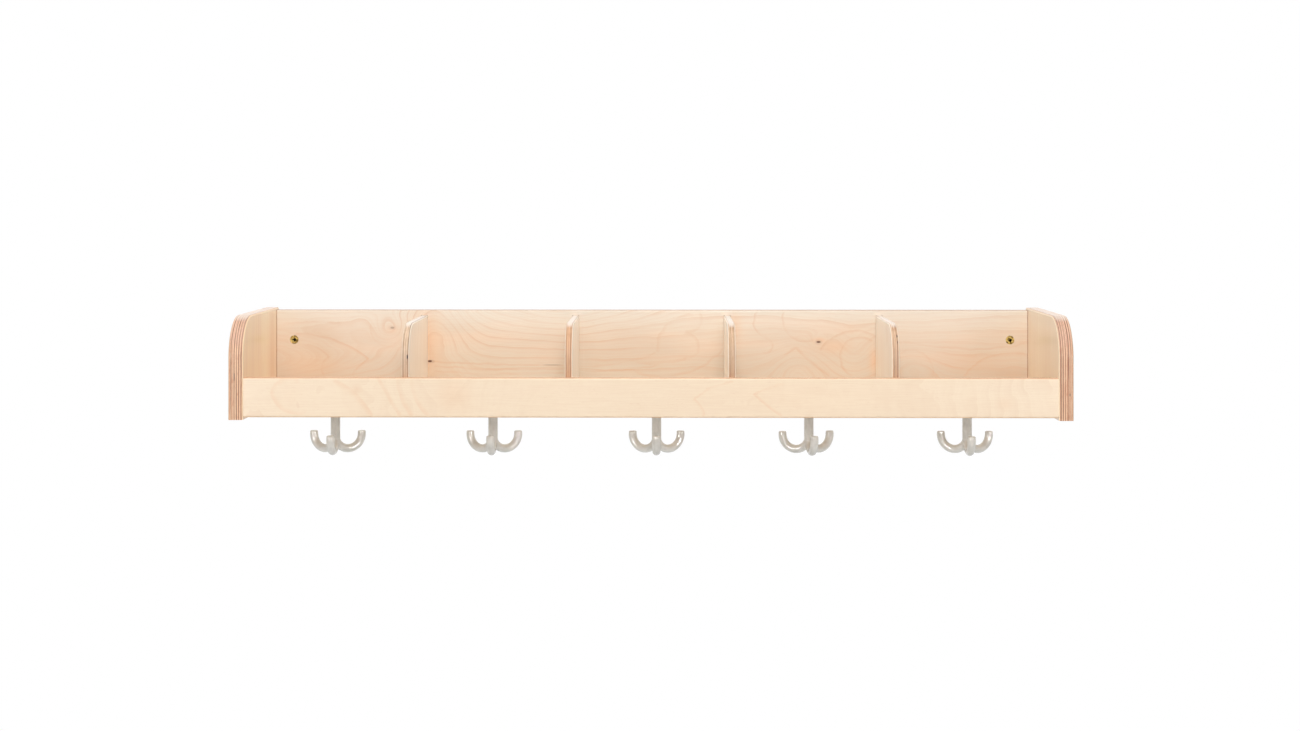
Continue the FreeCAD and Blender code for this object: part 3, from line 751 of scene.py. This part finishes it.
# %% Hardware colours
PLASTIC_LIGHT = paint(232, 229, 222)
PLASTIC_SHADE = paint(217, 214, 206)
STRAW = paint(226, 200, 128)
OLIVE = paint(110, 90, 44)
RECESS_DARK = paint(34, 28, 18)
ZINC_LIGHT = paint(205, 208, 212)
ZINC_SHADE = paint(150, 154, 160)
BEECH = paint(216, 178, 138)
BEECH_PORE = paint(168, 122, 86)

# %% Hardware finishes
LIGHT_IN_PLASTIC = 4.0 * MM
SKIN_DEPTH = 0.01 * MM
PORE_DEPTH = 0.08 * MM
RECESS_LIP = 0.15 * MM
RECESS_FLOOR = 3.1 * MM
LIP_FADE = 0.6 * MM
FLOOR_FADE = 0.4 * MM


def even(scale):
    """The same scale along all three axes."""
    return (scale, scale, scale)


def moulded_plastic():
    finish, place, _ = new_finish("grey_plastic")
    melt = cloud(stretched(place, even(60.0), 2.0), 3.0, 0.6)
    skin = cloud(stretched(place, even(1500.0), 5.0), 2.0)
    colour = blend_colours(ease(melt, 0.35, 0.7), PLASTIC_LIGHT, PLASTIC_SHADE)
    return close_finish(finish, Base_Color=colour, Roughness=0.05 + 0.06 * melt,
                        Normal=relief(skin, SKIN_DEPTH, 0.1), Subsurface_Weight=0.45,
                        Subsurface_Scale=LIGHT_IN_PLASTIC, Subsurface_Radius=even(1.0), IOR=1.55)


def plated_steel(name, light, shade, seed, recess=None):
    """Plated metal. A recess is given as the Y where it starts and the Y of its floor: it looks dark."""
    finish, place, _ = new_finish(name)
    drift = cloud(stretched(place, even(350.0), seed), 3.0, 0.6)
    scratches = cloud(stretched(place, (2600.0, 500.0, 2600.0), seed), 2.0)
    colour = blend_colours(ease(drift, 0.35, 0.65), light, shade)
    if recess:
        start, floor = recess
        inward = split(place)[1]
        sunk = ease(inward, start, start + LIP_FADE) * ease(inward, floor + FLOOR_FADE, floor)
        colour = blend_colours(sunk, colour, RECESS_DARK)
    return close_finish(finish, Base_Color=colour, Metallic=1.0, Roughness=0.14 + 0.2 * scratches,
                        Normal=relief(scratches, SKIN_DEPTH, 0.3))


def beech_dowel():
    finish, place, _ = new_finish("beech_dowel")
    pores = cloud(stretched(place, even(900.0), 1.0), 3.0, 0.6)
    clouds = cloud(stretched(place, even(80.0), 8.0), 2.0)
    colour = blend_colours(ease(pores, 0.55, 0.75) * 0.6 + clouds * 0.2, BEECH, BEECH_PORE)
    return close_finish(finish, Base_Color=colour, Roughness=0.6 + 0.2 * pores,
                        Normal=relief(pores, PORE_DEPTH, 0.4))


# %% Dress the hardware
screw_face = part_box("wall_screw_right")[0].y
PLASTIC = moulded_plastic()
YELLOW_ZINC = plated_steel("yellow_zinc_steel", STRAW, OLIVE, 3.0,
                           (screw_face + RECESS_LIP, screw_face + RECESS_FLOOR))
ZINC = plated_steel("zinc_steel", ZINC_LIGHT, ZINC_SHADE, 6.0)
DOWEL = beech_dowel()
PIECE_FINISHES = {"dowels": DOWEL, "bush": PLASTIC, "cap": PLASTIC, "body": PLASTIC, "pivot_screw": ZINC,
                  "washer": ZINC, "wall_screw": YELLOW_ZINC}
for node in frame["nodes"]:
    for word, finish in PIECE_FINISHES.items():
        if word in node:
            dress(node, finish)
print(len(PIECE_FINISHES), "kinds of hardware finished")

# %% [markdown]
# ## Building with Geometry Nodes
#
# A hook is a rule more than a shape: a straight stem, and the same bent arm three times round it. That
# suits Geometry Nodes, where the sizes stay as named inputs. A tree is made here in script: its inputs
# are declared first, and each one comes back as a wire, so sizes can be used in the same sums as in a
# shader.

# %% Tree helpers
def new_tree(name, numbers, others):
    """A geometry tree with named inputs, and a dictionary of the wires that they give."""
    tree = bpy.data.node_groups.new(name, "GeometryNodeTree")
    tree.interface.new_socket("Geometry", in_out="OUTPUT", socket_type="NodeSocketGeometry")
    kinds = dict.fromkeys(numbers, "NodeSocketFloat") | others
    for label, kind in kinds.items():
        tree.interface.new_socket(label, in_out="INPUT", socket_type=kind)
    entry = tree.nodes.new("NodeGroupInput")
    return tree, {label: Wire(entry.outputs[label]) for label in kinds}


def close_tree(tree, geometry, finish):
    """End a tree as the export needs it: instances made real, smooth faces and one material."""
    geometry = geometry.node("GeometryNodeRealizeInstances", values={0: geometry})
    geometry = geometry.node("GeometryNodeSetShadeSmooth", values={0: geometry})
    geometry = geometry.node("GeometryNodeSetMaterial", values={"Geometry": geometry, "Material": finish})
    leaving = tree.nodes.new("NodeGroupOutput")
    join(geometry, leaving.inputs[0])


def joined(*pieces):
    """Several geometries as one."""
    both = pieces[0].node("GeometryNodeJoinGeometry")
    for piece in reversed(pieces):
        join(piece, both.socket.node.inputs[0])
    return both


def moved(geometry, **values):
    """A geometry shifted by a Translation and turned by a Rotation."""
    return geometry.node("GeometryNodeTransform", values={"Geometry": geometry, **values})


def cut(body, cutter):
    return body.node("GeometryNodeMeshBoolean", {"operation": "DIFFERENCE", "solver": "MANIFOLD"},
                     {"Mesh 1": body, "Mesh 2": cutter})


def vector(x, y, z, beside):
    return beside.node("ShaderNodeCombineXYZ", values={0: x, 1: y, 2: z})


def rod(beside, length, steps, sides, radius_rule, place_rule, upright=False):
    """A closed round rod. The rules turn the distance along it into its radius and its place."""
    line = beside.node("GeometryNodeCurvePrimitiveLine", values={"End": (0.0, 0.0, 1.0)})
    line = line.node("GeometryNodeResampleCurve", values={"Curve": line, "Count": steps})
    distance = line.node("GeometryNodeSplineParameter") * length
    radius = radius_rule(distance)
    line = line.node("GeometryNodeSetPosition", values={"Geometry": line, "Position": place_rule(distance)})
    if upright:
        line = line.node("GeometryNodeSetCurveNormal", {"mode": "Z_UP"}, {"Curve": line})
    ring = line.node("GeometryNodeCurvePrimitiveCircle", values={"Resolution": sides, "Radius": 1.0})
    return line.node("GeometryNodeCurveToMesh",
                     values={"Curve": line, "Profile Curve": ring, "Scale": radius, "Fill Caps": True})


def grow(name, tree, sizes, modifiers=()):
    """Run a tree once on an empty mesh, then keep the result as a plain mesh object."""
    blank = bpy.data.objects.new(name, bpy.data.meshes.new(name))
    bpy.context.scene.collection.objects.link(blank)
    growing = blank.modifiers.new("Tree", "NODES")
    growing.node_group = tree
    sockets = {item.name: item.identifier for item in tree.interface.items_tree if item.in_out == "INPUT"}
    for label, value in sizes.items():
        growing[sockets[label]] = value
    for kind, settings in modifiers:
        modifier = blank.modifiers.new(kind.title(), kind)
        for setting, value in settings.items():
            setattr(modifier, setting, value)
    seen = blank.evaluated_get(bpy.context.evaluated_depsgraph_get())
    plain = bpy.data.meshes.new_from_object(seen)
    blank.modifiers.clear()
    blank.data = plain
    plain.name = name
    plain.materials.clear()
    plain.materials.append(sizes["Finish"])
    return blank


# %% [markdown]
# ## The hooks
#
# Each hook is one moulding. An arm leaves the foot of the stem, goes round half a circle and ends in a
# short rising tip with a soft rim. Sweeping a circle along that line gives clean arms, but where three
# of them run into the hub a moulding has small soft valleys, and a plain sweep has hard cuts. So the
# tree unites the swept parts and cuts the recess for the cap, and two modifiers after it, a fine voxel
# remesh and a little smoothing, melt the joins together as the mould does.
#
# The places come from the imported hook: its box gives the stem's top, the lowest point and the reach of
# the front arm, and the bend follows from those and from the arm's thickness.

# %% Hook sizes
HOOK_SIZES = {
    "Stem Radius": 6.0 * MM, "Edge Round": 0.8 * MM, "Arm Radius": 5.15 * MM, "Tip Radius": 4.8 * MM,
    "Tip Rise": 4.0 * MM, "Tip Round": 0.9 * MM, "Recess Radius": 4.3 * MM,
}
VOXEL = 0.55 * MM
MELTING = {"factor": 0.5, "iterations": 6}
ARM_STEPS = 200
ARM_SIDES = 56
STEM_STEPS = 160
STEM_SIDES = 64
ARM_COUNT = 3
FRONT = -math.pi / 2

hook_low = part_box("hook_1_body")[0]
cap_low, cap_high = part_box("hook_1_cap")
hook_axis_y = (cap_low.y + cap_high.y) / 2
arm_radius = HOOK_SIZES["Arm Radius"]
bend_radius = (hook_axis_y - hook_low.y - arm_radius) / 2
HOOK_SIZES |= {"Bend Radius": bend_radius, "Bend Height": hook_low.z + arm_radius + bend_radius}
for label, size in HOOK_SIZES.items():
    print(label, round(size / MM, 2), "mm")


# %% Hook tree
def rounded_end(distance, length, radius, rounding):
    """The radius near a rod's far end, which draws in over the rounding as a quarter circle."""
    left = (length - distance).least(rounding)
    return radius - rounding + (rounding * rounding - (rounding - left) ** 2.0).most(0.0).of("SQRT")


hook_tree, hook = new_tree("moulded_hook", [*HOOK_SIZES, "Turn", "Stem Top", "Hub Low", "Recess Top"], {
    "Axis": "NodeSocketVector", "Arms": "NodeSocketInt", "Finish": "NodeSocketMaterial"})

half_ring = hook["Bend Radius"] * math.pi
arm_length = half_ring + hook["Tip Rise"]


def arm_radius_at(distance):
    taper = (distance - half_ring).most(0.0) / hook["Tip Rise"]
    plain = hook["Arm Radius"] - (hook["Arm Radius"] - hook["Tip Radius"]) * taper
    return rounded_end(distance, arm_length, plain, hook["Tip Round"])


def arm_place_at(distance):
    angle = (distance / hook["Bend Radius"]).least(math.pi)
    out = hook["Bend Radius"] * (1.0 - angle.of("COSINE"))
    up = hook["Bend Height"] - hook["Bend Radius"] * angle.of("SINE") + (distance - half_ring).most(0.0)
    return vector(out, 0.0, up, distance)


stem_length = hook["Stem Top"] - hook["Hub Low"]


def stem_radius_at(distance):
    top = rounded_end(distance, stem_length, hook["Stem Radius"], hook["Edge Round"])
    low = rounded_end(stem_length - distance, stem_length, hook["Stem Radius"], hook["Edge Round"])
    return top.least(low)


arm = rod(hook["Turn"], arm_length, ARM_STEPS, ARM_SIDES, arm_radius_at, arm_place_at)
stem = rod(hook["Turn"], stem_length, STEM_STEPS, STEM_SIDES, stem_radius_at,
           lambda distance: vector(0.0, 0.0, hook["Hub Low"] + distance, distance))
points = hook["Turn"].node("GeometryNodePoints", values={"Count": hook["Arms"]})
index = points.node("GeometryNodeInputIndex")
arm_turn = FRONT + index * (2 * math.pi) / hook["Arms"]
arms = points.node("GeometryNodeInstanceOnPoints",
                   values={"Points": points, "Instance": arm, "Rotation": vector(0.0, 0.0, arm_turn, index)})
recess_height = (hook["Recess Top"] - hook["Hub Low"]) * 2.0
recess = arm.node("GeometryNodeMeshCylinder", values={"Vertices": STEM_SIDES, "Depth": recess_height,
                                                      "Radius": hook["Recess Radius"]})
recess = moved(recess, Translation=vector(0.0, 0.0, hook["Hub Low"], recess))
moulding = joined(arms, stem)
moulding = moulding.node("GeometryNodeMeshBoolean", {"operation": "UNION", "solver": "MANIFOLD"},
                         {"Mesh 2": moulding})
moulding = cut(moulding, recess)
moulding = moved(moulding, Translation=hook["Axis"], Rotation=vector(0.0, 0.0, hook["Turn"], moulding))
close_tree(hook_tree, moulding, hook["Finish"])

# %% [markdown]
# ## Five hooks from one tree
#
# The photograph shows one hook, the fourth, left a little turned, so that one has a turn of its own. Each
# hook's cap sits in the middle of its foot, so the cap's packed box gives the axis.

# %% Grow the hooks
TURNED_HOOK = "hook_4"
HOOK_TURN = math.radians(7)

for name in HOOKS:
    low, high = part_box(f"{name}_cap")
    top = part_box(f"{name}_body")[1].z
    axis = Vector(((low.x + high.x) / 2, (low.y + high.y) / 2, 0.0))
    moulded = grow(f"{name}_moulding", hook_tree, HOOK_SIZES | {
        "Axis": axis, "Turn": HOOK_TURN if name == TURNED_HOOK else 0.0, "Stem Top": top, "Hub Low": low.z,
        "Recess Top": high.z, "Arms": ARM_COUNT, "Finish": PLASTIC,
    }, [("REMESH", {"mode": "VOXEL", "voxel_size": VOXEL, "use_smooth_shade": True}), ("SMOOTH", MELTING)])
    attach(moulded, name)
    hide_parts(f"{name}_body")
    print(name, "has", len(moulded.data.polygons), "faces at X", round(axis.x / MM, 1), "mm")

# %% [markdown]
# ## The wall screws
#
# Two countersunk screws hold the shelf to the wall. Only their heads show from the front, each with a
# cross recess for a driver, but from behind one sees the whole thread. The shank is turned by the same
# rod rule as the hook's stem: a cone for the head, a plain neck, the core and a point. The thread is one
# more rod with four sides, wound as a helix with its sharp edge outwards. The recess is cut with two
# crossing blades that narrow inwards, and four small notches mark the kind of driver, as on real ones.

# %% Screw sizes
screw_low, screw_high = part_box("wall_screw_right")
SCREW_SIZES = {
    "Length": screw_high.y - screw_low.y, "Head Radius": (screw_high.x - screw_low.x) / 2,
    "Head Land": 0.25 * MM, "Neck Radius": 2.1 * MM, "Core Radius": 1.9 * MM, "Thread Radius": 3.0 * MM,
    "Thread Length": 36.0 * MM, "Pitch": 2.6 * MM, "Point Length": 6.0 * MM, "Recess Reach": 2.7 * MM,
    "Recess Depth": 2.9 * MM, "Blade Width": 1.15 * MM, "Notch Width": 0.3 * MM, "Notch Depth": 0.35 * MM,
}
BLADE_TAPER = 0.45
SCREW_STEPS = 240
SCREW_SIDES = 48
THREAD_STEPS = 420
RIDGE_SIDES = 4
SHARP_ANGLE = math.radians(35)
QUARTER = math.pi / 2
print("a wall screw is", round(SCREW_SIZES["Length"] / MM, 1), "mm long")

# %% Screw tree
screw_tree, screw = new_tree("countersunk_screw", SCREW_SIZES, {
    "Place": "NodeSocketVector", "Finish": "NodeSocketMaterial"})
thread_start = screw["Length"] - screw["Thread Length"]


def screw_radius_at(distance):
    head = (screw["Head Radius"] + screw["Head Land"] - distance).least(screw["Head Radius"])
    neck = screw["Core Radius"] + (screw["Neck Radius"] - screw["Core Radius"]) * (distance < thread_start)
    point = (screw["Length"] - distance) * screw["Core Radius"] / screw["Point Length"]
    return head.most(neck).least(point)


def helix_at(distance):
    angle = distance * (2 * math.pi) / screw["Pitch"]
    height = thread_start + distance
    radius = screw_radius_at(height)
    return vector(radius * angle.of("COSINE"), radius * angle.of("SINE"), height, distance)


def ridge_at(distance):
    rise = screw["Thread Radius"] - screw["Core Radius"]
    start = (distance / screw["Pitch"]).least(1.0)
    end = ((screw["Thread Length"] - distance) / screw["Point Length"]).least(1.0)
    return rise * start.least(end)


def blade(reach, width, depth, turn):
    """A cutter through the head's middle, which narrows as it goes down."""
    box = reach.node("GeometryNodeMeshCube", values={"Size": vector(reach * 2, width, depth * 2, reach)})
    long, thick, up = split(box.node("GeometryNodeInputPosition"))
    narrow = 1.0 - (up / depth) * BLADE_TAPER
    place = vector(long * narrow, thick * narrow, up, box)
    box = box.node("GeometryNodeSetPosition", values={"Geometry": box, "Position": place})
    return moved(box, Rotation=(0.0, 0.0, turn))


core = rod(screw["Length"], screw["Length"], SCREW_STEPS, SCREW_SIDES, screw_radius_at,
           lambda distance: vector(0.0, 0.0, distance, distance))
cutters = []
for turn in (0, QUARTER):
    cutters.append(blade(screw["Recess Reach"], screw["Blade Width"], screw["Recess Depth"], turn))
for turn in (QUARTER / 2, QUARTER + QUARTER / 2):
    cutters.append(blade(screw["Recess Reach"], screw["Notch Width"], screw["Notch Depth"], turn))
core = cut(core, joined(*cutters))
thread = rod(screw["Length"], screw["Thread Length"], THREAD_STEPS, RIDGE_SIDES, ridge_at, helix_at,
             upright=True)
into_wall = (-QUARTER, 0.0, 0.0)
whole = moved(joined(core, thread), Translation=screw["Place"], Rotation=into_wall)
close_tree(screw_tree, whole, screw["Finish"])

# %% Set the screws
for side in ("left", "right"):
    low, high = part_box(f"wall_screw_{side}")
    middle = (low + high) / 2
    driven = grow(f"wall_screw_{side}_threaded", screw_tree, SCREW_SIZES | {
        "Place": Vector((middle.x, low.y, middle.z)), "Finish": YELLOW_ZINC})
    driven.data.set_sharp_from_angle(angle=SHARP_ANGLE)
    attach(driven, "shelf")
    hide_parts(f"wall_screw_{side}")
    print("wall screw", side, "has", len(driven.data.polygons), "faces")

# %% [markdown]
# ## Floor and world
#
# The photograph is a studio picture on pure white. A pale floor lies well below the shelf, where it
# bounces light up under the boards, and fades out at its rim, so that no edge of it shows. The world is
# plain white for the camera and for reflections, and gentler for lighting the wood.

# %% Floor
WHITE = (1.0, 1.0, 1.0, 1.0)
FLOOR_DROP = 1.35
FLOOR_REACH = 2.4
FLOOR_FADE_START = 1.0
FLOOR_CORNERS = [(-1, -1), (1, -1), (1, 1), (-1, 1)]

floor_mesh = bpy.data.meshes.new("floor")
floor_mesh.from_pydata([(x * FLOOR_REACH, y * FLOOR_REACH, -FLOOR_DROP) for x, y in FLOOR_CORNERS], [],
                       [(0, 1, 2, 3)])
floor = bpy.data.objects.new("floor", floor_mesh)
bpy.context.scene.collection.objects.link(floor)
floor_finish, floor_place, _ = new_finish("pale_floor")
floor_level = floor_place.node("ShaderNodeMapping", values={"Vector": floor_place, "Scale": (1.0, 1.0, 0.0)})
radius = floor_place.node("ShaderNodeVectorMath", {"operation": "LENGTH"}, {0: floor_level}, output=1)
close_finish(floor_finish, Base_Color=paint(235, 235, 235), Roughness=0.9, Specular_IOR_Level=0.0,
             Emission_Color=WHITE, Emission_Strength=0.05, Alpha=ease(radius, FLOOR_REACH, FLOOR_FADE_START))
floor_mesh.materials.append(floor_finish)

# %% World
ROOM_LIGHT = 0.53

world = bpy.data.worlds.new("studio")
world.use_nodes = True
bpy.context.scene.world = world
rays = world.node_tree.nodes.new("ShaderNodeLightPath")
seen = Wire(rays.outputs["Is Camera Ray"]).most(Wire(rays.outputs["Is Glossy Ray"]))
seen = seen.most(Wire(rays.outputs["Is Transmission Ray"]))
backdrop = world.node_tree.nodes["Background"]
join(ROOM_LIGHT + (1.0 - ROOM_LIGHT) * seen, backdrop.inputs["Strength"])
backdrop.inputs["Color"].default_value = WHITE

# %% [markdown]
# ## Lamps
#
# Four kinds of softbox light the shelf. A long strip above brightens the top edges. A tall narrow box
# in front fills the compartments: it stands straight ahead of the camera's line, so that the dividers
# hide their own shadows behind them. Two low boxes, left and right of the camera, give nothing but
# reflections: they are what draws a glint along each hook's bends, under the rail. A weak strip behind
# keeps the rear from going grey when someone walks round the model, and the camera doesn't see it.

# %% Softboxes
# Each lamp: its place, its width and height in metres, and its watts
TOP_STRIP = ((-0.1, -0.7, 1.5), 2.4, 0.4, 12.5)
FRONT_SOFTBOX = ((0.08, -2.8, 1.1), 0.6, 1.5, 30.0)
GLINT_BOXES = {"left": ((-1.65, -2.35, 0.25), 0.8, 0.6, 80.0),
               "right": ((1.65, -2.35, 0.25), 0.8, 0.6, 80.0)}
REAR_STRIP = ((0.0, 1.6, 0.5), 2.4, 0.5, 3.2)


def softbox(name, place, width, height, watts):
    """A rectangular lamp that looks at the middle of the shelf."""
    lamp = bpy.data.lights.new(name, "AREA")
    lamp.shape = "RECTANGLE"
    lamp.size = width
    lamp.size_y = height
    lamp.energy = watts
    holder = bpy.data.objects.new(name, lamp)
    holder.location = place
    holder.rotation_euler = (shelf_middle - Vector(place)).to_track_quat("-Z", "Y").to_euler()
    bpy.context.scene.collection.objects.link(holder)
    return holder


softbox("top_strip", *TOP_STRIP)
softbox("front_softbox", *FRONT_SOFTBOX)
for side, glint_box in GLINT_BOXES.items():
    softbox(f"glint_box_{side}", *glint_box).visible_diffuse = False
softbox("rear_strip", *REAR_STRIP).visible_camera = False
print(len(bpy.data.lights), "lamps")

# %% [markdown]
# ## Camera
#
# The camera stands level, a little above the shelf and about 2.5 m from the wall. The picture was
# cropped low in the lens's view, which a lens shift repeats without tilting the camera, so upright
# edges stay upright. The shift is the distance from the picture's middle to the horizon, as a share
# of the photograph's width.

# %% Camera
PHOTO_WIDTH = 1300
HORIZON_DROP = 167.7
CAMERA_PLACE = (0.0215, -2.4555, 0.2078)
CAMERA_TURN = 0.0096
SENSOR_WIDTH = 36.0
LENS = 51.24

camera_data = bpy.data.cameras.new("camera")
camera_data.sensor_width = SENSOR_WIDTH
camera_data.lens = LENS
camera_data.shift_y = -HORIZON_DROP / PHOTO_WIDTH
camera = bpy.data.objects.new("camera", camera_data)
camera.location = CAMERA_PLACE
camera.rotation_euler = (math.radians(90), 0.0, CAMERA_TURN)
bpy.context.scene.collection.objects.link(camera)
bpy.context.scene.camera = camera
bpy.context.scene.view_settings.view_transform = "Standard"
